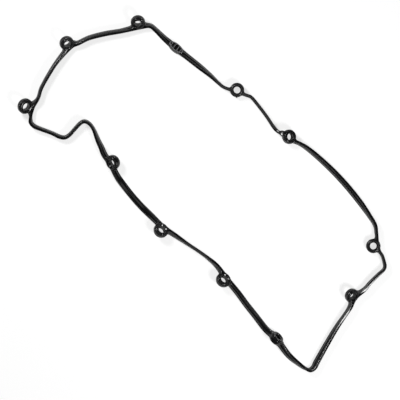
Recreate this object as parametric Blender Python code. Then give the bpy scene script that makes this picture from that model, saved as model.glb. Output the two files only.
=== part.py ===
# Valve cover gasket: one moulded rubber loop with eleven bolt eyelets,
# lying slack on a flat surface, so that its strip and eyelets lean and roll.
import math

import bmesh
import bpy
from mathutils import Matrix, Vector

MM = 0.001

# Seal strip, measured in its own upright section
STRIP_WIDTH = 3.0 * MM
STRIP_HEIGHT = 7.1 * MM
STRIP_CORNER = 0.7 * MM
BEAD_PROUD = 0.25 * MM
BEAD_HEIGHT = 1.8 * MM

# Bolt eyelets, each a turned boss with a bore countersunk from both faces
EYELET_DIAMETER = 15.4 * MM
EYELET_HEIGHT = 7.9 * MM
EYELET_EDGE = 0.9 * MM
BORE_DIAMETER = 7.8 * MM
COUNTERSINK_WIDTH = 1.3 * MM
COUNTERSINK_DEPTH = 1.0 * MM
EYELET_SIDES = 18

# Webs where the strip broadens into an eyelet
WEB_SPREAD = 1.0 * MM
WEB_RUN = 4.0 * MM

# Oval label plate on the strip
PLATE_LENGTH = 18.5 * MM
PLATE_HEIGHT = 9.6 * MM
PLATE_THICKNESS = 3.4 * MM
PLATE_SIDES = 20

# Spacing of the sections swept along the strip
SPACING = 10.0 * MM
SPACING_AT_EYELET = 4.2 * MM

# Points closer together than this are one point
SAME_POINT = 0.0001 * MM

RUBBER_COLOUR = (0.03, 0.03, 0.032, 1.0)
RUBBER_ROUGHNESS = 0.45
SHARP_ANGLE = math.radians(35)

# The loop, clockwise from above. Each eyelet gives its centre in mm, its lean in
# degrees and the heading that it leans towards, how far to the inside of the loop
# the strip passes its centre, and its lift off the ground. Then come the points of
# the strip up to the next eyelet: x, y, roll towards the inside, and lift.
LOOP = [
    {"eyelet": "inner_left", "at": (-95.1, -42.6), "lean": 44, "towards": 252, "pass": -4.0, "lift": 0.0,
     "strip": [(-108.5, -43.1, -42, 0.5), (-116.9, -39.8, -32, 0.5), (-125.4, -36.8, -22, 0.5),
               (-136.9, -31.9, -9, 1.0), (-144.5, -30.7, -10, 1.5), (-150.2, -32.7, -13, 1.5),
               (-152.2, -37.6, -13, 1.5), (-151.9, -46.0, -12, 1.0), (-151.6, -54.5, -14, 0.5),
               (-153.1, -60.3, -16, 0.3), (-157.9, -64.0, -16, 0.3), (-166.4, -67.1, -14, 0.5),
               (-178.4, -72.5, -14, 0.5), (-184.8, -75.1, -14, 0.5), (-190.0, -75.5, -12, 0.5),
               (-193.6, -72.9, -6, 0.6)]},
    {"eyelet": "far_left", "at": (-206.5, -66.5), "lean": 36, "towards": 10, "pass": 8.0, "lift": 0.8,
     "strip": [(-204.1, -50.9, 10, 1.6), (-209.6, -40.4, 11, 2.0), (-214.5, -23.9, 14, 2.0),
               (-218.0, -7.0, 20, 1.6)]},
    {"eyelet": "left", "at": (-224.3, 14.0), "lean": 43, "towards": -12, "pass": 6.9, "lift": 1.0,
     "strip": [(-215.7, 24.0, 27, 1.6), (-211.3, 35.9, 25, 1.8), (-202.1, 51.7, 28, 1.8),
               (-191.9, 66.2, 26, 1.6)]},
    {"eyelet": "upper_left", "at": (-185.8, 85.8), "lean": 45, "towards": -42, "pass": 6.6, "lift": 1.0,
     "strip": [(-173.9, 92.2, 27, 1.2), (-166.0, 93.6, 24, 0.8), (-153.0, 93.8, 38, 0.6),
               (-136.4, 95.2, 66, 1.2, "plate"), (-122.4, 96.9, 44, 0.5), (-105.5, 98.9, 40, 0.5),
               (-88.0, 100.7, 17, 0.5), (-76.0, 101.2, 4, 0.3), (-68.2, 102.3, 0, 0.3)]},
    {"eyelet": "top_left", "at": (-56.0, 110.5), "lean": 0, "towards": 0, "pass": 2.0, "lift": 0.0,
     "strip": [(-44.2, 113.8, 0, 0.3), (-39.5, 115.5, 0, 0.3), (-30.5, 114.9, 0, 0.5),
               (-13.1, 112.6, 2, 0.8), (5.5, 109.4, 9, 0.5)]},
    {"eyelet": "top", "at": (21.0, 114.5), "lean": 24, "towards": 45, "pass": 1.2, "lift": 0.0,
     "strip": [(34.1, 117.0, -12, 0.5), (43.1, 119.2, -20, 0.5), (60.0, 121.0, -28, 0.5),
               (82.5, 121.6, -35, 0.4), (105.0, 120.7, -37, 0.4), (126.9, 118.3, -34, 0.5),
               (144.4, 115.2, -19, 0.5), (156.0, 112.2, -10, 0.4), (163.3, 107.0, -4, 0.3)]},
    {"eyelet": "right", "at": (171.5, 95.0), "lean": 0, "towards": 0, "pass": -4.9, "lift": 0.0,
     "strip": [(180.5, 95.1, 0, 0.3), (185.4, 94.1, 0, 0.3), (191.8, 90.7, -2, 0.3),
               (195.6, 87.8, -3, 0.3), (197.2, 84.0, -3, 0.3), (196.8, 76.0, -6, 0.5),
               (196.9, 63.5, -10, 0.6), (197.7, 54.0, -17, 0.6)]},
    {"eyelet": "far_right", "at": (193.0, 40.0), "lean": 40, "towards": 5, "pass": -4.8, "lift": 0.0,
     "strip": [(200.2, 29.5, -24, 0.6), (202.2, 20.5, -17, 0.6), (205.5, 3.0, -24, 0.6),
               (211.0, -18.5, -33, 0.6), (216.9, -39.5, -43, 0.5), (218.8, -45.0, -36, 0.4),
               (218.1, -50.3, -20, 0.4), (213.1, -53.1, 4, 0.4), (204.5, -54.7, 20, 0.5),
               (189.0, -55.7, 40, 1.2)]},
    {"eyelet": "lower_right", "at": (168.5, -51.6), "lean": 64, "towards": 90, "pass": -0.8, "lift": 0.0,
     "strip": [(152.0, -53.3, 58, 1.6), (134.5, -51.2, 52, 1.0), (117.5, -49.1, 48, 0.8),
               (101.0, -46.6, 44, 0.8)]},
    {"eyelet": "bottom_right", "at": (81.5, -48.0), "lean": 37, "towards": 90, "pass": 4.2, "lift": 0.0,
     "strip": [(65.0, -42.3, 24, 0.8), (51.0, -43.2, 8, 0.8), (38.0, -45.2, 4, 0.8),
               (25.0, -47.9, 9, 0.6), (11.0, -50.6, 22, 0.6)]},
    {"eyelet": "bottom", "at": (-6.5, -57.5), "lean": 37, "towards": 90, "pass": 5.0, "lift": 0.0,
     "strip": [(-22.0, -54.3, 52, 0.5), (-40.0, -54.5, 76, 0.4), (-57.0, -53.6, 90, 0.4),
               (-74.0, -51.6, 112, 0.4), (-83.6, -49.4, 130, 0.6)]},
]


def clear_scene():
    for thing in list(bpy.data.objects):
        bpy.data.objects.remove(thing, do_unlink=True)


def make_rubber():
    rubber = bpy.data.materials.new("black_rubber")
    rubber.use_nodes = True
    shader = rubber.node_tree.nodes["Principled BSDF"]
    shader.inputs["Base Color"].default_value = RUBBER_COLOUR
    shader.inputs["Roughness"].default_value = RUBBER_ROUGHNESS
    shader.inputs["Metallic"].default_value = 0.0
    return rubber


# Inside of the loop, to the right of a heading, as the loop runs clockwise
def inward(heading):
    return Vector((heading.y, -heading.x, 0.0)).normalized()


# Half the height that a rounded oblong takes up when it is rolled
def half_rise(width, height, corner, angle):
    flat_across = width / 2 - corner
    flat_up = height / 2 - corner
    return flat_up * abs(math.cos(angle)) + flat_across * abs(math.sin(angle)) + corner


# Each eyelet's frame: its place, its axis and the strip's point and roll beside it
def place_eyelets():
    placed = []
    for index, stop in enumerate(LOOP):
        before = LOOP[index - 1]["strip"][-1]
        after = stop["strip"][0]
        heading = Vector((after[0] - before[0], after[1] - before[1], 0.0)).normalized()
        lean = math.radians(stop["lean"])
        towards = math.radians(stop["towards"])
        axis = Vector((math.sin(lean) * math.cos(towards), math.sin(lean) * math.sin(towards), math.cos(lean)))
        rise = half_rise(EYELET_DIAMETER, EYELET_HEIGHT, EYELET_EDGE, lean)
        centre = Vector((stop["at"][0] * MM, stop["at"][1] * MM, stop["lift"] * MM + rise))
        across = inward(heading)
        side = (across - axis * across.dot(axis)).normalized()
        roll = math.atan2(axis.dot(across), axis.z)
        placed.append({"centre": centre, "axis": axis, "point": centre + side * stop["pass"] * MM, "roll": roll})
    return placed


# Points that the strip runs through, each with its roll, and whether an eyelet is there
def strip_points(placed):
    points = []
    for stop, eyelet in zip(LOOP, placed):
        points.append((eyelet["point"], eyelet["roll"], True))
        for spot in stop["strip"]:
            roll = math.radians(spot[2])
            rise = half_rise(STRIP_WIDTH, STRIP_HEIGHT, STRIP_CORNER, roll)
            points.append((Vector((spot[0] * MM, spot[1] * MM, spot[3] * MM + rise)), roll, False))
    # The section is the same either way up, so the strip comes back half a turn from its start
    points.append((placed[0]["point"], placed[0]["roll"] + math.pi, True))
    return points


# Catmull-Rom blend of four neighbours, at a share of the way from the second to the third
def blend(a, b, c, d, share):
    return 0.5 * (2 * b + (c - a) * share + (2 * a - 5 * b + 4 * c - d) * share ** 2
                  + (3 * b - a - 3 * c + d) * share ** 3)


# Sections along the strip: place and roll
def strip_stations(points):
    last = len(points) - 1
    stations = []
    for index in range(last):
        quad = [points[max(index - 1, 0)], points[index], points[index + 1], points[min(index + 2, last)]]
        if index == 0:
            quad[0] = (points[last - 1][0], points[0][1], True)
        if index == last - 1:
            quad[3] = (points[1][0], points[last][1], True)
        spacing = SPACING_AT_EYELET if quad[1][2] or quad[2][2] else SPACING
        steps = max(2, math.ceil((quad[2][0] - quad[1][0]).length / spacing))
        for step in range(steps):
            share = step / steps
            place = blend(*(item[0] for item in quad), share)
            roll = blend(*(item[1] for item in quad), share)
            stations.append((place, roll))
    return stations


# Outline of the strip's section, as points across and up from its middle
def section_outline():
    side = STRIP_WIDTH / 2
    top = STRIP_HEIGHT / 2
    right = [(side - STRIP_CORNER, -top), (side, -top + STRIP_CORNER), (side, -BEAD_HEIGHT / 2),
             (side + BEAD_PROUD, 0.0), (side, BEAD_HEIGHT / 2), (side, top - STRIP_CORNER),
             (side - STRIP_CORNER, top)]
    return right + [(-across, -up) for across, up in right]


# How much the strip is broadened by the web of the nearest eyelet
def web_share(place, placed):
    nearest = min((place - eyelet["centre"]).length for eyelet in placed)
    share = (EYELET_DIAMETER / 2 + WEB_RUN - nearest) / WEB_RUN
    return min(max(share, 0.0), 1.0) ** 2


def set_section(ring, outline, place, heading, roll, spread):
    across = inward(heading)
    upright = across.cross(heading).normalized()
    sideways = across * math.cos(roll) - upright * math.sin(roll)
    upwards = upright * math.cos(roll) + across * math.sin(roll)
    widening = 1.0 + 2.0 * spread / STRIP_WIDTH
    for corner, (out, up) in zip(ring, outline):
        corner.co = place + sideways * out * widening + upwards * up


def close_ring(bm, ring):
    return [bm.edges.get(pair) or bm.edges.new(pair) for pair in zip(ring, ring[1:] + ring[:1])]


# The next section's ring of points, extruded from the last one's
def extrude_ring(bm, ring):
    made = bmesh.ops.extrude_edge_only(bm, edges=close_ring(bm, ring))["geom"]
    fresh = {item for item in made if isinstance(item, bmesh.types.BMVert)}
    joined = [[edge.other_vert(vert) for edge in vert.link_edges] for vert in ring]
    return [next(other for other in others if other in fresh) for others in joined]


# The strip as one closed ring, its last section bridged back to its first
def make_strip(placed):
    stations = strip_stations(strip_points(placed))
    outline = section_outline()
    bm = bmesh.new()
    first = [bm.verts.new() for _ in outline]
    ring = first
    for index, (place, roll) in enumerate(stations):
        behind = stations[index - 1][0]
        ahead = stations[(index + 1) % len(stations)][0]
        heading = (ahead - behind).normalized()
        if index > 0:
            ring = extrude_ring(bm, ring)
        set_section(ring, outline, place, heading, roll, WEB_SPREAD * web_share(place, placed))
    bmesh.ops.bridge_loops(bm, edges=close_ring(bm, ring) + close_ring(bm, first))
    bmesh.ops.recalc_face_normals(bm, faces=bm.faces)
    return bm


# Solid turned from an outline of radius and height, about its own upright axis
def turned(bm, outline, sides, placing):
    verts = [bm.verts.new((radius, 0.0, height)) for radius, height in outline]
    edges = [bm.edges.new(pair) for pair in zip(verts, verts[1:])]
    bmesh.ops.spin(bm, geom=verts + edges, cent=(0, 0, 0), axis=(0, 0, 1), angle=math.tau,
                   steps=sides, use_merge=True, use_duplicate=False)
    made = [vert for vert in bm.verts if not vert.tag]
    bmesh.ops.remove_doubles(bm, verts=made, dist=SAME_POINT)
    made = [vert for vert in bm.verts if not vert.tag]
    bmesh.ops.transform(bm, matrix=placing, verts=made)
    for vert in made:
        vert.tag = True


def eyelet_outline():
    rim = EYELET_DIAMETER / 2
    top = EYELET_HEIGHT / 2
    edge = EYELET_EDGE
    bevel = edge * (1 - math.sqrt(0.5))
    upper = [(rim, top - edge), (rim - bevel, top - bevel), (rim - edge, top), (0.0, top)]
    return [(radius, -height) for radius, height in reversed(upper)] + upper


def bore_outline():
    bore = BORE_DIAMETER / 2
    top = EYELET_HEIGHT / 2
    slope = COUNTERSINK_WIDTH / COUNTERSINK_DEPTH
    beyond = COUNTERSINK_DEPTH
    upper = [(bore, top - COUNTERSINK_DEPTH), (bore + COUNTERSINK_WIDTH + slope * beyond, top + beyond),
             (0.0, top + beyond)]
    return [(radius, -height) for radius, height in reversed(upper)] + upper


def make_turned_set(outline, placed):
    bm = bmesh.new()
    for eyelet in placed:
        facing = Vector((0, 0, 1)).rotation_difference(eyelet["axis"]).to_matrix().to_4x4()
        turned(bm, outline, EYELET_SIDES, Matrix.Translation(eyelet["centre"]) @ facing)
    bmesh.ops.recalc_face_normals(bm, faces=bm.faces)
    return bm


# Oval plate set flat along the strip, standing and rolled as the strip is there
def make_plate():
    bm = bmesh.new()
    for stop in LOOP:
        for index, spot in enumerate(stop["strip"]):
            if len(spot) < 5:
                continue
            before, after = stop["strip"][index - 1], stop["strip"][index + 1]
            heading = Vector((after[0] - before[0], after[1] - before[1], 0.0)).normalized()
            roll = math.radians(spot[2])
            rise = half_rise(STRIP_WIDTH, STRIP_HEIGHT, STRIP_CORNER, roll)
            place = Vector((spot[0] * MM, spot[1] * MM, spot[3] * MM + rise))
            across = inward(heading)
            sideways = across * math.cos(roll) - Vector((0, 0, 1)) * math.sin(roll)
            upwards = sideways.cross(heading) * -1
            frame = Matrix((heading, upwards, sideways)).transposed().to_4x4()
            shape = Matrix.Diagonal((PLATE_LENGTH / 2, PLATE_HEIGHT / 2, PLATE_THICKNESS, 1))
            bmesh.ops.create_cone(bm, cap_ends=True, cap_tris=False, segments=PLATE_SIDES, radius1=1, radius2=1,
                                  depth=1, matrix=Matrix.Translation(place) @ frame @ shape)
    bmesh.ops.recalc_face_normals(bm, faces=bm.faces)
    return bm


def make_object(name, bm):
    mesh = bpy.data.meshes.new(name)
    bm.to_mesh(mesh)
    bm.free()
    thing = bpy.data.objects.new(name, mesh)
    bpy.context.scene.collection.objects.link(thing)
    return thing


def combine(target, tool, operation):
    tool.hide_render = True
    tool.display_type = "WIRE"
    step = target.modifiers.new(tool.name, "BOOLEAN")
    step.operation = operation
    step.solver = "EXACT"
    step.object = tool


# Bake the joined solid, and stand it with the middle of its box's floor at the origin
def settle(thing):
    evaluated = thing.evaluated_get(bpy.context.evaluated_depsgraph_get())
    solid = bpy.data.meshes.new_from_object(evaluated)
    lowest = [min(vert.co[axis] for vert in solid.vertices) for axis in range(3)]
    highest = [max(vert.co[axis] for vert in solid.vertices) for axis in range(3)]
    middle = [(low + high) / 2 for low, high in zip(lowest, highest)]
    solid.transform(Matrix.Translation((-middle[0], -middle[1], -lowest[2])))
    for step in list(thing.modifiers):
        bpy.data.objects.remove(step.object, do_unlink=True)
    thing.modifiers.clear()
    thing.data = solid
    solid.name = thing.name


def main():
    clear_scene()
    placed = place_eyelets()
    gasket = make_object("gasket", make_strip(placed))
    combine(gasket, make_object("eyelet_bosses", make_turned_set(eyelet_outline(), placed)), "UNION")
    combine(gasket, make_object("label_plate", make_plate()), "UNION")
    combine(gasket, make_object("bores", make_turned_set(bore_outline(), placed)), "DIFFERENCE")
    settle(gasket)
    gasket.data.materials.clear()
    gasket.data.materials.append(make_rubber())
    gasket.data.shade_smooth()
    gasket.data.set_sharp_from_angle(angle=SHARP_ANGLE)


main()
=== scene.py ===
import math

import bmesh
import bpy
from mathutils import Matrix, Vector


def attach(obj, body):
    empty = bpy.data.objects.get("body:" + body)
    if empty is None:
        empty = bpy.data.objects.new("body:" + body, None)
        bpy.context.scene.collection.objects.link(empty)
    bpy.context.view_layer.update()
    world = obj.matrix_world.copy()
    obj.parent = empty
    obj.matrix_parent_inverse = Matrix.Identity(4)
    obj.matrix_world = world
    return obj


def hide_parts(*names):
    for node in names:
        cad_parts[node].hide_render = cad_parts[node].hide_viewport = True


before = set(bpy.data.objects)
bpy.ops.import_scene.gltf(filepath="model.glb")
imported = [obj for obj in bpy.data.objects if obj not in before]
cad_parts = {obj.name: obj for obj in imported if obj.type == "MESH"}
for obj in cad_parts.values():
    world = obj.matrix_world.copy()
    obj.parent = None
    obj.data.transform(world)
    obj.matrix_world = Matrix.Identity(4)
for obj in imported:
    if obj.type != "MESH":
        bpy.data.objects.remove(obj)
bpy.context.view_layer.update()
print("frame loaded")

mm = 0.001
up = Vector((0.0, 0.0, 1.0))
mergeGap = 0.0001 * mm           # points closer than this are one


# sums and nodes of a shader

class Wire:  # a socket that can stand in a sum
    def __init__(self, tree, socket=None):
        self.tree = tree
        self.socket = socket

    def node(self, kind, settings, values, output=0):
        made = self.tree.nodes.new(kind)
        for name, value in settings.items():
            setattr(made, name, value)
        for name, value in values.items():
            if isinstance(value, Wire):
                self.tree.links.new(value.socket, made.inputs[name])
            else:
                made.inputs[name].default_value = value
        return Wire(self.tree, made.outputs[output])

    def sum(self, operation, first, second):
        return self.node("ShaderNodeMath", {"operation": operation}, {0: first, 1: second})

    def __add__(self, other):
        return self.sum("ADD", self, other)

    def __rsub__(self, other):
        return self.sum("SUBTRACT", other, self)

    def __mul__(self, other):
        return self.sum("MULTIPLY", self, other)

    __radd__ = __add__
    __rmul__ = __mul__

    def within(self, low, high):  # 0 below low, 1 above high, smooth between
        settings = {"interpolation_type": "SMOOTHSTEP"}
        return self.node("ShaderNodeMapRange", settings, {"Value": self, "From Min": low, "From Max": high})

    def tint(self, dark, light):  # colour between two, by this share
        return self.node("ShaderNodeMix", {"data_type": "RGBA"}, {0: self, 6: dark, 7: light}, 2)


def newMaterial(name):
    material = bpy.data.materials.new(name)
    material.use_nodes = True
    tree = material.node_tree
    return material, Wire(tree), tree.nodes["Principled BSDF"]


# the route of the loop, clockwise from above, in mm and degrees
# places were measured by program along the strip in the photograph and turned into millimetres,
# then shifted up to 1.6 mm by another that compared renders with it
# eyelets: place, lean and its heading, how far inwards the strip passes, lift off the ground
# strip points up to the next eyelet: x, y, roll inwards, lift off the ground

loop = [
    {"eyelet": "innerLeft", "at": (-96.2, -42.3), "lean": 44, "towards": 252, "pass": -4.0, "lift": 0.0,
     "strip": [(-108.5, -43.2, -44, 0.5), (-116.9, -39.8, -35, 0.5), (-125.4, -36.7, -24, 0.5),
               (-136.9, -31.8, -9, 1.0), (-144.5, -30.6, -11, 1.5), (-150.2, -32.7, -15, 1.5),
               (-152.0, -37.6, -16, 1.5), (-151.8, -46.0, -14, 1.0), (-151.4, -54.5, -15, 0.5),
               (-153.0, -60.4, -17, 0.3), (-157.9, -64.0, -17, 0.3), (-166.4, -67.1, -14, 0.5),
               (-178.4, -72.6, -16, 0.5), (-184.8, -75.2, -19, 0.5), (-190.0, -75.4, -14, 0.5),
               (-193.6, -72.9, -6, 0.6)]},
    {"eyelet": "farLeft", "at": (-207.9, -66.8), "lean": 40, "towards": 10, "pass": 9.0, "lift": 0.8,
     "strip": [(-204.1, -50.9, 14, 1.6), (-209.5, -40.3, 15, 2.0), (-214.3, -23.9, 18, 2.0),
               (-217.9, -7.0, 22, 1.6)]},
    {"eyelet": "left", "at": (-224.6, 14.3), "lean": 43, "towards": -12, "pass": 6.9, "lift": 1.0,
     "strip": [(-215.6, 24.0, 28, 1.6), (-211.3, 35.9, 27, 1.8), (-202.0, 51.6, 30, 1.8),
               (-191.8, 66.1, 28, 1.6)]},
    {"eyelet": "upperLeft", "at": (-185.5, 85.8), "lean": 43, "towards": -42, "pass": 6.6, "lift": 1.0,
     "strip": [(-173.9, 92.2, 28, 1.2), (-166.0, 93.7, 25, 0.8), (-153.0, 93.8, 38, 0.6),
               (-136.4, 95.2, 66, 1.2), (-122.4, 96.9, 46, 0.5), (-105.5, 98.9, 41, 0.5),
               (-88.0, 100.7, 20, 0.5), (-76.0, 101.1, 6, 0.3), (-68.1, 102.1, 0, 0.3)]},
    {"eyelet": "topLeft", "at": (-56.1, 110.1), "lean": 0, "towards": 0, "pass": 2.0, "lift": 0.0,
     "strip": [(-44.1, 113.6, 0, 0.3), (-39.5, 115.5, 0, 0.3), (-30.5, 114.9, 0, 0.5),
               (-13.1, 112.6, 3, 0.8), (5.5, 109.4, 9, 0.5)]},
    {"eyelet": "top", "at": (20.6, 114.1), "lean": 28, "towards": 45, "pass": 1.2, "lift": 0.0,
     "strip": [(34.1, 117.0, -12, 0.5), (43.1, 119.2, -21, 0.5), (60.0, 120.9, -29, 0.5),
               (82.5, 121.6, -36, 0.4), (105.0, 120.7, -40, 0.4), (126.9, 118.3, -36, 0.5),
               (144.4, 115.2, -20, 0.5), (156.0, 112.3, -11, 0.4), (163.3, 107.1, -5, 0.3)]},
    {"eyelet": "right", "at": (170.8, 94.8), "lean": 0, "towards": 0, "pass": -4.9, "lift": 0.0,
     "strip": [(180.6, 95.2, 0, 0.3), (185.4, 94.2, 0, 0.3), (191.8, 90.7, -4, 0.3),
               (195.7, 87.9, -4, 0.3), (197.3, 84.0, -4, 0.3), (196.9, 76.0, -7, 0.5),
               (196.9, 63.5, -10, 0.6), (197.6, 54.0, -17, 0.6)]},
    {"eyelet": "farRight", "at": (192.3, 39.6), "lean": 42, "towards": 5, "pass": -4.8, "lift": 0.0,
     "strip": [(200.1, 29.5, -25, 0.6), (202.2, 20.5, -17, 0.6), (205.5, 3.0, -26, 0.6),
               (211.0, -18.5, -36, 0.6), (217.0, -39.5, -45, 0.5), (218.9, -45.0, -38, 0.4),
               (218.1, -50.3, -22, 0.4), (213.1, -53.1, 7, 0.4), (204.5, -54.7, 21, 0.5),
               (189.0, -55.7, 44, 1.2)]},
    {"eyelet": "lowerRight", "at": (167.1, -52.2), "lean": 64, "towards": 90, "pass": -0.8, "lift": 0.0,
     "strip": [(152.0, -53.2, 60, 1.6), (134.5, -51.1, 52, 1.0), (117.5, -49.1, 49, 0.8),
               (101.0, -46.6, 45, 0.8)]},
    {"eyelet": "bottomRight", "at": (80.7, -48.0), "lean": 37, "towards": 90, "pass": 4.2, "lift": 0.0,
     "strip": [(65.0, -42.2, 25, 0.8), (51.0, -43.1, 10, 0.8), (38.0, -45.2, 6, 0.8),
               (25.0, -47.9, 9, 0.6), (11.0, -50.5, 23, 0.6)]},
    {"eyelet": "bottom", "at": (-6.1, -57.9), "lean": 37, "towards": 90, "pass": 5.0, "lift": 0.0,
     "strip": [(-22.0, -54.3, 53, 0.5), (-40.0, -54.5, 76, 0.4), (-57.0, -53.5, 90, 0.4),
               (-74.0, -51.5, 112, 0.4), (-83.6, -49.5, 130, 0.6)]},
]

strip = {
    "width": 3.4 * mm,
    "height": 7.3 * mm,
    "corner": 0.7 * mm,
    "beadProud": 0.25 * mm,      # ridge along the middle of each side
    "beadHeight": 1.8 * mm,
    "beadShoulder": (0.6, 0.55), # shares of its proud and of its half height
    "grooveDepth": 0.16 * mm,    # groove below each sealing lip
    "grooveWidth": 0.7 * mm,
    "grooveBed": 0.2 * mm,       # flat bottom of the groove
    "grooveHeight": 2.25 * mm,
    "spacing": 1.5 * mm,         # between sections
    "straightAt": "top",         # eyelet whose own plane the strip runs in
    "straight": 5.0 * mm,        # half of that run
    "fillet": 2.0 * mm,          # where it flares into an eyelet
}

eyelet = {
    "diameter": 15.8 * mm,
    "larger": {"farLeft": 1.09, "bottom": 1.05, "bottomRight": 1.05, "innerLeft": 1.04},
    "height": 7.9 * mm,
    "edge": 0.9 * mm,            # rounding that a leaning eyelet stands on
    "faceRadius": 7.15 * mm,     # above and below the flange
    "faceEdge": 1.05 * mm,
    "edgeSteps": 6,
    "flangeHeight": 3.6 * mm,
    "flangeRound": 0.3 * mm,
    "lipInner": 5.7 * mm,        # raised ring round the seat
    "lipSlope": 0.12 * mm,
    "lipDepth": 0.15 * mm,
    "lipRound": 0.08 * mm,
    "bore": 7.5 * mm,
    "sinkWidth": 1.3 * mm,       # countersink
    "sinkDepth": 1.0 * mm,
    "sinkRound": 0.3 * mm,
    "cutFlare": 0.9 * mm,        # how the bore's cutter widens past the face
    "cutBeyond": 1.2 * mm,
    "sides": 64,
}


def inward(heading):
    return Vector((heading.y, -heading.x, 0.0)).normalized()


def halfRise(width, height, corner, angle):  # of a rounded section turned by this angle
    upright, sideways = abs(math.cos(angle)), abs(math.sin(angle))
    return (height / 2 - corner) * upright + (width / 2 - corner) * sideways + corner


def placeEyelets():
    placed = []
    for index, stop in enumerate(loop):
        before = loop[index - 1]["strip"][-1]
        after = stop["strip"][0]
        heading = Vector((after[0] - before[0], after[1] - before[1], 0.0)).normalized()
        lean, towards = math.radians(stop["lean"]), math.radians(stop["towards"])
        axis = Matrix.Rotation(towards, 3, "Z") @ Vector((math.sin(lean), 0.0, math.cos(lean)))
        rise = halfRise(eyelet["diameter"], eyelet["height"], eyelet["edge"], lean)
        centre = Vector((stop["at"][0] * mm, stop["at"][1] * mm, stop["lift"] * mm + rise))
        across = inward(heading)
        side = (across - axis * across.dot(axis)).normalized()
        roll = math.atan2(axis.dot(across), axis.z)
        along = (heading - axis * axis.dot(heading)).normalized()
        placed.append({"name": stop["eyelet"], "centre": centre, "axis": axis, "roll": roll, "along": along,
                       "point": centre + side * stop["pass"] * mm})
    return placed


def stripPoints(placed):
    points = []
    for stop, spot in zip(loop, placed):
        straight = spot["name"] == strip["straightAt"]
        for way in ((-1, 1) if straight else (0,)):  # two points where it runs straight, else one
            points.append((spot["point"] + spot["along"] * way * strip["straight"], spot["roll"]))
        for x, y, degrees, lift in stop["strip"]:
            roll = math.radians(degrees)
            rise = halfRise(strip["width"], strip["height"], strip["corner"], roll)
            points.append((Vector((x * mm, y * mm, lift * mm + rise)), roll))
    points.append((placed[0]["point"], placed[0]["roll"] + math.pi))  # back half a turn on
    return points


def blendFour(a, b, c, d, share):
    return 0.5 * (2 * b + (c - a) * share + (2 * a - 5 * b + 4 * c - d) * share ** 2
                  + (3 * b - a - 3 * c + d) * share ** 3)


def stripStations(points):
    last = len(points) - 1
    stations = []
    for index in range(last):
        quad = [points[max(index - 1, 0)], points[index], points[index + 1], points[min(index + 2, last)]]
        if index == 0:
            quad[0] = (points[last - 1][0], points[0][1])
        if index == last - 1:
            quad[3] = (points[1][0], points[last][1])
        steps = max(2, math.ceil((quad[2][0] - quad[1][0]).length / strip["spacing"]))
        for step in range(steps):
            share = step / steps
            stations.append([blendFour(*(item[part] for item in quad), share) for part in (0, 1)])
    return stations


def stationFrame(stations, index):  # heading, sideways to the inside, and up along the section
    place, roll = stations[index]
    heading = (stations[(index + 1) % len(stations)][0] - stations[index - 1][0]).normalized()
    across = inward(heading)
    upright = across.cross(heading).normalized()
    sideways = across * math.cos(roll) - upright * math.sin(roll)
    return place, heading, sideways, upright * math.cos(roll) + across * math.sin(roll)


# outlines with their corners rounded

def rounded(points, radius, steps=3):
    soft = [points[0]]
    for before, here, after in zip(points, points[1:], points[2:]):
        here = Vector(here)
        ends = []
        for other in (Vector(before), Vector(after)):
            gap = other - here
            ends.append(here + gap.normalized() * min(radius, gap.length * 0.45))
        for step in range(steps + 1):
            share = step / steps
            soft.append(tuple(ends[0].lerp(here, share).lerp(here.lerp(ends[1], share), share)))
    return soft + [points[-1]]


def stripOutline():
    side, top, bead = strip["width"] / 2, strip["height"] / 2, strip["beadHeight"] / 2
    middle, half, flat = strip["grooveHeight"], strip["grooveWidth"] / 2, strip["grooveBed"] / 2
    bed, proud = side - strip["grooveDepth"], side + strip["beadProud"]
    shoulderOut, shoulderRise = strip["beadShoulder"]
    corner = rounded([(0.0, -top), (side, -top), (side, 0.0)], strip["corner"])[1:-1]
    groove = [(side, -middle - half), (bed, -middle - flat), (bed, -middle + flat), (side, -middle + half)]
    swell = [(side, -bead), (side + shoulderOut * strip["beadProud"], -bead * shoulderRise)]
    lower = corner + groove + swell
    right = lower + [(proud, 0.0)] + [(out, -rise) for out, rise in reversed(lower)]
    return right + [(-out, -rise) for out, rise in right]


def eyeletOutline():
    rim, top, wall = eyelet["diameter"] / 2, eyelet["height"] / 2, eyelet["faceRadius"]
    seat, flange = top - eyelet["lipDepth"], eyelet["flangeHeight"] / 2
    edge, lip, steps = eyelet["faceEdge"], eyelet["lipInner"], eyelet["edgeSteps"]
    face = rounded([(0.0, seat), (lip, seat), (lip + eyelet["lipSlope"], top), (wall - edge, top)],
                   eyelet["lipRound"], 2)
    turns = [math.radians(90 * step / steps) for step in range(steps + 1)]
    corner = [(wall - edge + edge * math.sin(turn), top - edge + edge * math.cos(turn)) for turn in turns]
    shoulder = rounded([corner[-1], (wall, flange), (rim, flange), (rim, 0.0)], eyelet["flangeRound"], 4)
    upper = face[:-1] + corner + shoulder[1:-1]
    return upper + [(radius, -height) for radius, height in reversed(upper)]


def boreOutline():
    bore, top = eyelet["bore"] / 2, eyelet["height"] / 2
    mouth, end = bore + eyelet["sinkWidth"], top + eyelet["cutBeyond"]
    wall = rounded([(mouth + eyelet["cutFlare"], end), (mouth, top), (bore, top - eyelet["sinkDepth"]),
                    (bore, 0.0)], eyelet["sinkRound"], 3)[:-1]
    upper = [(0.0, end)] + wall
    return upper + [(radius, -height) for radius, height in reversed(upper)]


# meshes

def closeRing(bm, ring):
    return [bm.edges.get(pair) or bm.edges.new(pair) for pair in zip(ring, ring[1:] + ring[:1])]


def extrudeRing(bm, ring):
    made = bmesh.ops.extrude_edge_only(bm, edges=closeRing(bm, ring))["geom"]
    fresh = {item for item in made if isinstance(item, bmesh.types.BMVert)}
    return [next(edge.other_vert(vert) for edge in vert.link_edges if edge.other_vert(vert) in fresh)
            for vert in ring]


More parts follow.
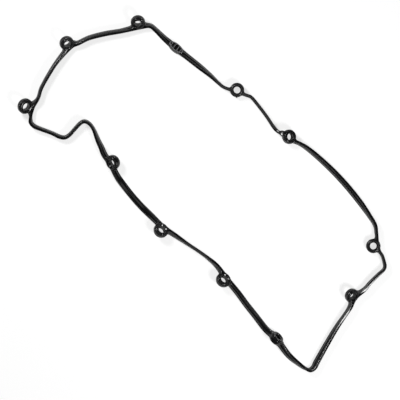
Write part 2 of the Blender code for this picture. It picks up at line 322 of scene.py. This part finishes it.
def flare(place, heading, sideways, placed, sign):  # fillet between one side of the strip and an eyelet
    spot = min(placed, key=lambda item: (item["centre"] - place).length)
    offset = place - spot["centre"]
    radius, fillet = eyelet["diameter"] / 2, strip["fillet"]
    reach = sign * offset.dot(sideways) + strip["width"] / 2
    if reach >= radius:
        return 0.0
    start = math.sqrt(max((radius + fillet) ** 2 - (reach + fillet) ** 2, 0.0))
    gone = start - abs(offset.dot(heading))
    if gone <= 0.0:
        return 0.0
    gone = min(gone, start * fillet / (radius + fillet), fillet)
    return fillet - math.sqrt(fillet ** 2 - gone ** 2)


def makeStrip(stations, placed):
    outline = stripOutline()
    bm = bmesh.new()
    first = [bm.verts.new() for _ in outline]
    ring = first
    for index in range(len(stations)):
        place, heading, sideways, upwards = stationFrame(stations, index)
        if index > 0:
            ring = extrudeRing(bm, ring)
        spread = {sign: flare(place, heading, sideways, placed, sign) for sign in (1, -1)}
        for vert, (out, rise) in zip(ring, outline):
            wider = out + math.copysign(spread[1 if out > 0 else -1], out)
            vert.co = place + sideways * wider + upwards * rise
    bmesh.ops.bridge_loops(bm, edges=closeRing(bm, ring) + closeRing(bm, first))
    bmesh.ops.recalc_face_normals(bm, faces=bm.faces)
    return bm


def turned(outline, sides, placing):
    bm = bmesh.new()
    verts = [bm.verts.new((radius, 0.0, height)) for radius, height in outline]
    edges = [bm.edges.new(pair) for pair in zip(verts, verts[1:])]
    bmesh.ops.spin(bm, geom=verts + edges, cent=(0, 0, 0), axis=(0, 0, 1), angle=math.tau,
                   steps=sides, use_merge=True, use_duplicate=False)
    bmesh.ops.remove_doubles(bm, verts=bm.verts, dist=mergeGap)
    bmesh.ops.recalc_face_normals(bm, faces=bm.faces)
    bmesh.ops.transform(bm, matrix=placing, verts=bm.verts)
    return bm


def eyeletPlacing(spot):
    facing = up.rotation_difference(spot["axis"]).to_matrix().to_4x4()
    wide = eyelet["larger"].get(spot["name"], 1.0)
    return Matrix.Translation(spot["centre"]) @ facing @ Matrix.Diagonal((wide, wide, 1.0, 1.0))


def addTo(whole, part):  # move one bmesh's faces into another
    mesh = bpy.data.meshes.new("part")
    part.to_mesh(mesh)
    part.free()
    whole.from_mesh(mesh)
    bpy.data.meshes.remove(mesh)


def turnedSet(outline, placed):
    whole = bmesh.new()
    for spot in placed:
        addTo(whole, turned(outline, eyelet["sides"], eyeletPlacing(spot)))
    return whole


def frameMatrix(place, heading, sideways, upwards):
    return Matrix.Translation(place) @ Matrix((heading, upwards, sideways)).transposed().to_4x4()


def nearestStation(stations, x, y):
    return min(range(len(stations)), key=lambda i: (stations[i][0].xy - Vector((x * mm, y * mm))).length)


plate = {                        # oval tab with a rim and plain cross ribs
    "at": (-136.5, 95.8),
    "length": 18.5 * mm,
    "height": 9.2 * mm,
    "thickness": 5.2 * mm,
    "edge": 0.5 * mm,
    "rim": 0.8 * mm,
    "recess": 0.5 * mm,
    "recessSlope": 0.15 * mm,
    "ribs": (-6.0, -2.2, 2.2, 6.0),
    "ribWidth": 1.0 * mm,
    "ribBelow": 0.05 * mm,       # below the rim
    "ribEdge": 0.2 * mm,
    "segments": 64,
}


def makePlate(stations):
    bm = bmesh.new()
    bmesh.ops.create_cone(bm, cap_ends=True, cap_tris=False, segments=plate["segments"], radius1=1.0,
                          radius2=1.0, depth=1.0)
    size = (plate["length"] / 2, plate["height"] / 2, plate["thickness"])
    bmesh.ops.scale(bm, vec=size, verts=bm.verts)
    caps = [face for face in bm.faces if len(face.verts) == plate["segments"]]
    bmesh.ops.bevel(bm, geom=[edge for face in caps for edge in face.edges], offset=plate["edge"],
                    segments=3, profile=0.5, affect="EDGES", material=-1)
    caps = [face for face in bm.faces if len(face.verts) == plate["segments"]]
    bmesh.ops.inset_region(bm, faces=caps, thickness=plate["rim"], depth=0.0)
    bmesh.ops.inset_region(bm, faces=caps, thickness=plate["recessSlope"], depth=-plate["recess"])
    index = nearestStation(stations, *plate["at"])
    placing = frameMatrix(*stationFrame(stations, index))
    bmesh.ops.transform(bm, matrix=placing, verts=bm.verts)
    return bm, placing


def makeRibs(placing):           # cross ribs on both faces of the plate
    whole = bmesh.new()
    for x in plate["ribs"]:
        x = x * mm
        tall = plate["height"] * math.sqrt(1 - (2 * x / plate["length"]) ** 2) - plate["rim"]
        rib = bmesh.new()
        size = Matrix.Diagonal((plate["ribWidth"], tall, plate["thickness"] - 2 * plate["ribBelow"], 1.0))
        bmesh.ops.create_cube(rib, size=1.0, matrix=placing @ Matrix.Translation((x, 0.0, 0.0)) @ size)
        bmesh.ops.bevel(rib, geom=rib.edges[:], offset=plate["ribEdge"], segments=2, profile=0.5,
                        affect="EDGES", material=-1)
        addTo(whole, rib)
    return whole


marks = {                        # row of plain raised bars on the strip's inner side
    "from": (85.5, 122.2),
    "to": (114.0, 120.6),
    "heights": (2.4, 2.4, 1.1, 2.4, 1.1, 1.1, 2.4, 2.4, 1.1, 2.4, 2.4),
    "length": 1.0 * mm,
    "proud": 0.28 * mm,
    "middle": 1.2 * mm,          # above the bead
    "edge": 0.12 * mm,
}


def makeMarks(stations):
    whole = bmesh.new()
    first, last = nearestStation(stations, *marks["from"]), nearestStation(stations, *marks["to"])
    count = len(marks["heights"])
    for number, tall in enumerate(marks["heights"]):
        index = round(first + (last - first) * number / (count - 1))
        placing = frameMatrix(*stationFrame(stations, index))
        out = strip["width"] / 2
        local = Matrix.Translation((0.0, marks["middle"], out)) @ Matrix.Diagonal(
            (marks["length"], tall * mm, 2 * marks["proud"], 1.0))
        bar = bmesh.new()
        bmesh.ops.create_cube(bar, size=1.0, matrix=placing @ local)
        bmesh.ops.bevel(bar, geom=bar.edges[:], offset=marks["edge"], segments=2, profile=0.5,
                        affect="EDGES", material=-1)
        addTo(whole, bar)
    return whole


nubs = {                         # trimmed gates on two eyelets' walls
    "radius": 0.95 * mm,
    "upperLeft": (7.0, -4.4),
    "topLeft": (5.8, -6.4),
}


def makeNubs(placed):
    whole = bmesh.new()
    for spot in placed:
        if spot["name"] not in nubs:
            continue
        aim = Vector((*nubs[spot["name"]], 0.0)).normalized()
        aim = (aim - spot["axis"] * aim.dot(spot["axis"])).normalized()
        place = spot["centre"] + aim * eyelet["diameter"] / 2
        nub = bmesh.new()
        bmesh.ops.create_icosphere(nub, subdivisions=3, radius=nubs["radius"],
                                   matrix=Matrix.Translation(place))
        addTo(whole, nub)
    return whole


def makeObject(name, bm):
    mesh = bpy.data.meshes.new(name)
    bm.to_mesh(mesh)
    bm.free()
    thing = bpy.data.objects.new(name, mesh)
    bpy.context.scene.collection.objects.link(thing)
    return thing


def combine(thing, tools):       # (bmesh, operation) pairs, applied and cleared away
    for number, (bm, operation) in enumerate(tools):
        tool = makeObject("tool" + str(number), bm)
        step = thing.modifiers.new(tool.name, "BOOLEAN")
        step.operation = operation
        step.solver = "EXACT"
        step.object = tool
    evaluated = thing.evaluated_get(bpy.context.evaluated_depsgraph_get())
    solid = bpy.data.meshes.new_from_object(evaluated)
    for step in list(thing.modifiers):
        bpy.data.objects.remove(step.object, do_unlink=True)
    thing.modifiers.clear()
    thing.data = solid


def settle(mesh):                # middle of the box's floor at the origin, as the frame has it
    lowest = [min(vert.co[axis] for vert in mesh.vertices) for axis in range(3)]
    highest = [max(vert.co[axis] for vert in mesh.vertices) for axis in range(3)]
    middle = [(low + high) / 2 for low, high in zip(lowest, highest)]
    shift = Vector((-middle[0], -middle[1], -lowest[2]))
    mesh.transform(Matrix.Translation(shift))
    return shift


rubbingAndHighlight = {                      # where the rubber wears, and where the plate's rim and ribs get a painted highlight
    "fullBend": 110,             # degrees in a millimetre that are a full edge
    "leastBend": 25,             # degrees at an edge of any width
    "bendSpread": 35,
    "finest": 0.05 * mm,         # narrowest face that is told apart
    "mostEdge": 0.85,            # more than this is only on the plate, where it is a painted highlight
    "plateDepth": 0.2 * mm,      # how far down from its faces
}


def edgeBend(edge):              # outward bend for its width
    bend = math.degrees(edge.calc_face_angle_signed(0.0))
    if bend <= 0.0:
        return 0.0
    width = min(face.calc_area() for face in edge.link_faces) / max(edge.calc_length(), rubbingAndHighlight["finest"])
    wide = bend / rubbingAndHighlight["fullBend"] * mm / max(width, rubbingAndHighlight["finest"])
    return min(max(wide, (bend - rubbingAndHighlight["leastBend"]) / rubbingAndHighlight["bendSpread"]), rubbingAndHighlight["mostEdge"])


def markWearAndPlateHighlight(mesh, placing):    # 0 on flats, 1 on tight outer edges where the rubber wears, and on the plate's rim and ribs as a painted highlight
    bm = bmesh.new()
    bm.from_mesh(mesh)
    layer = bm.verts.layers.float.new("edgeWearAndPlateHighlight")
    toPlate, depth = placing.inverted(), plate["thickness"] / 2 - rubbingAndHighlight["plateDepth"]
    for vert in bm.verts:
        local = toPlate @ vert.co
        raised = abs(local.x) < plate["length"] / 2 and abs(local.z) > depth
        bend = max((edgeBend(edge) for edge in vert.link_edges), default=0.0)
        # the plate's rim and ribs take 1: a painted highlight, not wear
        vert[layer] = 1.0 if raised and abs(local.y) < plate["height"] / 2 else bend
    bm.to_mesh(mesh)
    bm.free()


def buildGasket():
    placed = placeEyelets()
    stations = stripStations(stripPoints(placed))
    gasket = makeObject("gasketRubber", makeStrip(stations, placed))
    print("strip swept:", len(stations), "sections")
    plateMesh, placing = makePlate(stations)
    combine(gasket, [(turnedSet(eyeletOutline(), placed), "UNION"), (plateMesh, "UNION"),
                     (makeRibs(placing), "UNION"), (makeMarks(stations), "UNION"),
                     (makeNubs(placed), "UNION"), (turnedSet(boreOutline(), placed), "DIFFERENCE")])
    shift = settle(gasket.data)
    markWearAndPlateHighlight(gasket.data, Matrix.Translation(shift) @ placing)
    gasket.data.shade_smooth()
    gasket.data.set_sharp_from_angle(angle=math.radians(38))
    print("gasket joined:", len(gasket.data.vertices), "points,", len(gasket.data.polygons), "faces")
    return gasket


gasket = buildGasket()

# rubber

rubber = {
    "dark": (0.002, 0.002, 0.0022, 1.0),
    "light": (0.006, 0.006, 0.0066, 1.0),
    "bloom": (0.060, 0.061, 0.064, 1.0),     # pale bloom and dust
    # edges worn lighter, and the painted highlight on the plate's rim and ribs
    "wornAndHighlight": (0.150, 0.150, 0.155, 1.0),
    "roughLow": 0.11,
    "roughSpread": 0.2,
    "coat": 0.18,
    "coatRoughness": 0.1,
    "specular": 0.3,
    "bloomShare": 0.18,
    "rubbedShare": 0.4,
    # share of the painted highlight on the plate's rim and ribs
    "plateHighlightShare": 0.8,
    "rubbedRough": 0.1,
    "bloomRough": 0.5,
    "cloudScale": 14,
    "patchScale": 45,
    "blotchScale": 60,
    "dustScale": 420,
    "grainScale": 5200,
    "pebbleScale": 1500,
    "streakScale": 2600,
    "waveScale": 260,
    "waveHeight": 0.09 * mm,
    "pebbleHeight": 0.018 * mm,
    "streakHeight": 0.010 * mm,
    "grainHeight": 0.008 * mm,
}


def rubberMaterial():
    material, wire, shader = newMaterial("mouldedRubber")
    place = wire.node("ShaderNodeTexCoord", {}, {}, "Object")

    def noise(scale, detail=2.0, roughness=0.5, at=place):
        return wire.node("ShaderNodeTexNoise", {}, {"Vector": at, "Scale": scale, "Detail": detail,
                                                    "Roughness": roughness})

    def mix(share, under, over):
        return wire.node("ShaderNodeMix", {"data_type": "RGBA"}, {0: share, 6: under, 7: over}, 2)

    facing = wire.node("ShaderNodeNewGeometry", {}, {}, "Normal")
    upwards = wire.node("ShaderNodeSeparateXYZ", {}, {0: facing}, "Z")
    # wear on edges and the plate's painted highlight, from the mesh
    wearAndHighlightMask = wire.node("ShaderNodeAttribute", {"attribute_name": "edgeWearAndPlateHighlight"}, {}, "Fac")
    grain, pebble = noise(rubber["grainScale"], 3.0, 0.6), noise(rubber["pebbleScale"], 3.0)
    blotch, cloud = noise(rubber["blotchScale"], 4.0, 0.6), noise(rubber["cloudScale"], 2.0)
    drawn = wire.node("ShaderNodeMapping", {}, {"Vector": place, "Scale": (1.0, 1.0, 0.08)})
    streak = noise(rubber["streakScale"], 2.0, 0.5, drawn)

    dusty = noise(rubber["dustScale"], 6.0, 0.65).within(0.52, 0.75) * upwards.within(0.1, 0.9)
    bloom = dusty * cloud.within(0.35, 0.7) * rubber["bloomShare"]
    patchy = noise(rubber["patchScale"]).within(0.42, 0.65) * (0.3 + 0.7 * pebble.within(0.35, 0.65))
    wearAndPaintedHighlight = wearAndHighlightMask.within(0.5, 0.85) * patchy * rubber["rubbedShare"]
    # the plate's rim and ribs are painted lighter as a highlight
    wearAndPaintedHighlight = wearAndPaintedHighlight + wearAndHighlightMask.within(0.88, 1.0) * rubber["plateHighlightShare"]
    colour = (blotch * 0.7 + grain * 0.3).tint(rubber["dark"], rubber["light"])
    colour = mix(bloom, mix(wearAndPaintedHighlight, colour, rubber["wornAndHighlight"]), rubber["bloom"])
    rough = rubber["roughLow"] + rubber["roughSpread"] * (blotch * 0.5 + pebble * 0.3 + streak * 0.2)
    rough = rough + bloom * rubber["bloomRough"] + wearAndPaintedHighlight * rubber["rubbedRough"]

    bumps = ((noise(rubber["waveScale"], 2.0), rubber["waveHeight"], 0.5),
             (pebble, rubber["pebbleHeight"], 0.6), (streak, rubber["streakHeight"], 0.4),
             (grain, rubber["grainHeight"], 0.6))
    normal = None
    for height, distance, strength in bumps:  # each bump on the one before it
        values = {"Strength": strength, "Distance": distance, "Height": height}
        if normal:
            values["Normal"] = normal
        normal = wire.node("ShaderNodeBump", {}, values)
    for name, value in (("Base Color", colour), ("Roughness", rough), ("Normal", normal),
                        ("Coat Weight", rubber["coat"] * (1 - bloom))):
        wire.tree.links.new(value.socket, shader.inputs[name])
    shader.inputs["Coat Roughness"].default_value = rubber["coatRoughness"]
    shader.inputs["Specular IOR Level"].default_value = rubber["specular"]
    return material


gasket.data.materials.clear()
gasket.data.materials.append(rubberMaterial())
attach(gasket, "root")
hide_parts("gasket")
print("rubber made")

# floor, light and camera

studio = {
    "floorSize": 3.0,
    "floorColour": (0.82, 0.82, 0.82, 1.0),
    "farColour": (0.02, 0.02, 0.02, 1.0),    # beyond the picture, so that it doesn't show in the rubber
    "nearReach": 0.33,
    "farReach": 0.45,
    "floorGlow": (0.70, 0.70, 0.70, 1.0),    # for the camera alone, so the floor is white with soft shadows
    "floorShade": 0.4,           # share of the lit floor that the camera sees
    "white": (1.0, 1.0, 1.0, 1.0),           # the far floor and the world, for the camera alone
    "dim": (0.03, 0.03, 0.03, 1.0),          # the world for everything else
    "lampPower": 6.8,
    "lampSize": 0.24,
    "lampDistance": 1.0,
    "lampHeight": 44.0,          # degrees above the floor
    "lampHeadings": (0.0, 180.0),
    "panelPower": 1.1,           # overhead
    "panelSize": 0.6,
    "panelHeight": 1.2,
    "panelHeading": 45.0,
}


def makeFloor():
    bm = bmesh.new()
    bmesh.ops.create_grid(bm, x_segments=1, y_segments=1, size=studio["floorSize"])
    floor = makeObject("floor", bm)
    material, wire, shader = newMaterial("paleFloor")
    shader.inputs["Roughness"].default_value = 0.9
    shader.inputs["Specular IOR Level"].default_value = 0.0
    place = wire.node("ShaderNodeTexCoord", {}, {}, "Object")
    reach = wire.node("ShaderNodeVectorMath", {"operation": "LENGTH"}, {0: place}, "Value")
    far = reach.within(studio["nearReach"], studio["farReach"])
    colour = far.tint(studio["floorColour"], studio["farColour"])
    wire.tree.links.new(colour.socket, shader.inputs["Base Color"])
    lit = Wire(wire.tree, shader.outputs[0])
    black = wire.node("ShaderNodeEmission", {}, {"Strength": 0.0})
    shade = wire.node("ShaderNodeMixShader", {}, {0: studio["floorShade"], 1: black, 2: lit})
    glow = wire.node("ShaderNodeEmission", {}, {"Color": far.tint(studio["floorGlow"], studio["white"])})
    both = wire.node("ShaderNodeAddShader", {}, {0: shade, 1: glow})
    seen = wire.node("ShaderNodeLightPath", {}, {}, "Is Camera Ray")
    mixed = wire.node("ShaderNodeMixShader", {}, {0: seen, 1: lit, 2: both})
    wire.tree.links.new(mixed.socket, wire.tree.nodes["Material Output"].inputs["Surface"])
    floor.data.materials.append(material)


def makeWorld():
    world = bpy.data.worlds.new("paleStudio")
    world.use_nodes = True
    bpy.context.scene.world = world
    wire = Wire(world.node_tree)
    seen = wire.node("ShaderNodeLightPath", {}, {}, "Is Camera Ray")
    backdrop = wire.tree.nodes["Background"]
    wire.tree.links.new(seen.tint(studio["dim"], studio["white"]).socket, backdrop.inputs["Color"])


def addLamp(name, size, power, distance, lean, heading):
    data = bpy.data.lights.new(name, "AREA")
    data.shape = "SQUARE"
    data.size = size
    data.energy = power
    lamp = bpy.data.objects.new(name, data)
    bpy.context.scene.collection.objects.link(lamp)
    aim = Matrix.Rotation(math.radians(heading), 4, "Z") @ Matrix.Rotation(math.radians(lean), 4, "Y")
    lamp.matrix_world = aim @ Matrix.Translation((0.0, 0.0, distance))
    lamp.visible_camera = False


def makeLamps():
    for number, heading in enumerate(studio["lampHeadings"]):
        addLamp("softLamp" + str(number), studio["lampSize"], studio["lampPower"], studio["lampDistance"],
                90.0 - studio["lampHeight"], heading)
    addLamp("overheadPanel", studio["panelSize"], studio["panelPower"], studio["panelHeight"], 0.0,
            studio["panelHeading"])


view = {
    "place": (0.0055, -0.02741, 3.0),
    "turn": 45.0,
    "lens": 245.5,
    "sensor": 36.0,
}


def makeCamera():
    data = bpy.data.cameras.new("camera")
    data.sensor_width = view["sensor"]
    data.lens = view["lens"]
    camera = bpy.data.objects.new("camera", data)
    camera.location = view["place"]
    camera.rotation_euler = (0.0, 0.0, math.radians(view["turn"]))
    bpy.context.scene.collection.objects.link(camera)
    bpy.context.scene.camera = camera


makeFloor()
makeWorld()
makeLamps()
makeCamera()
bpy.context.scene.view_settings.view_transform = "Standard"
print("studio set")
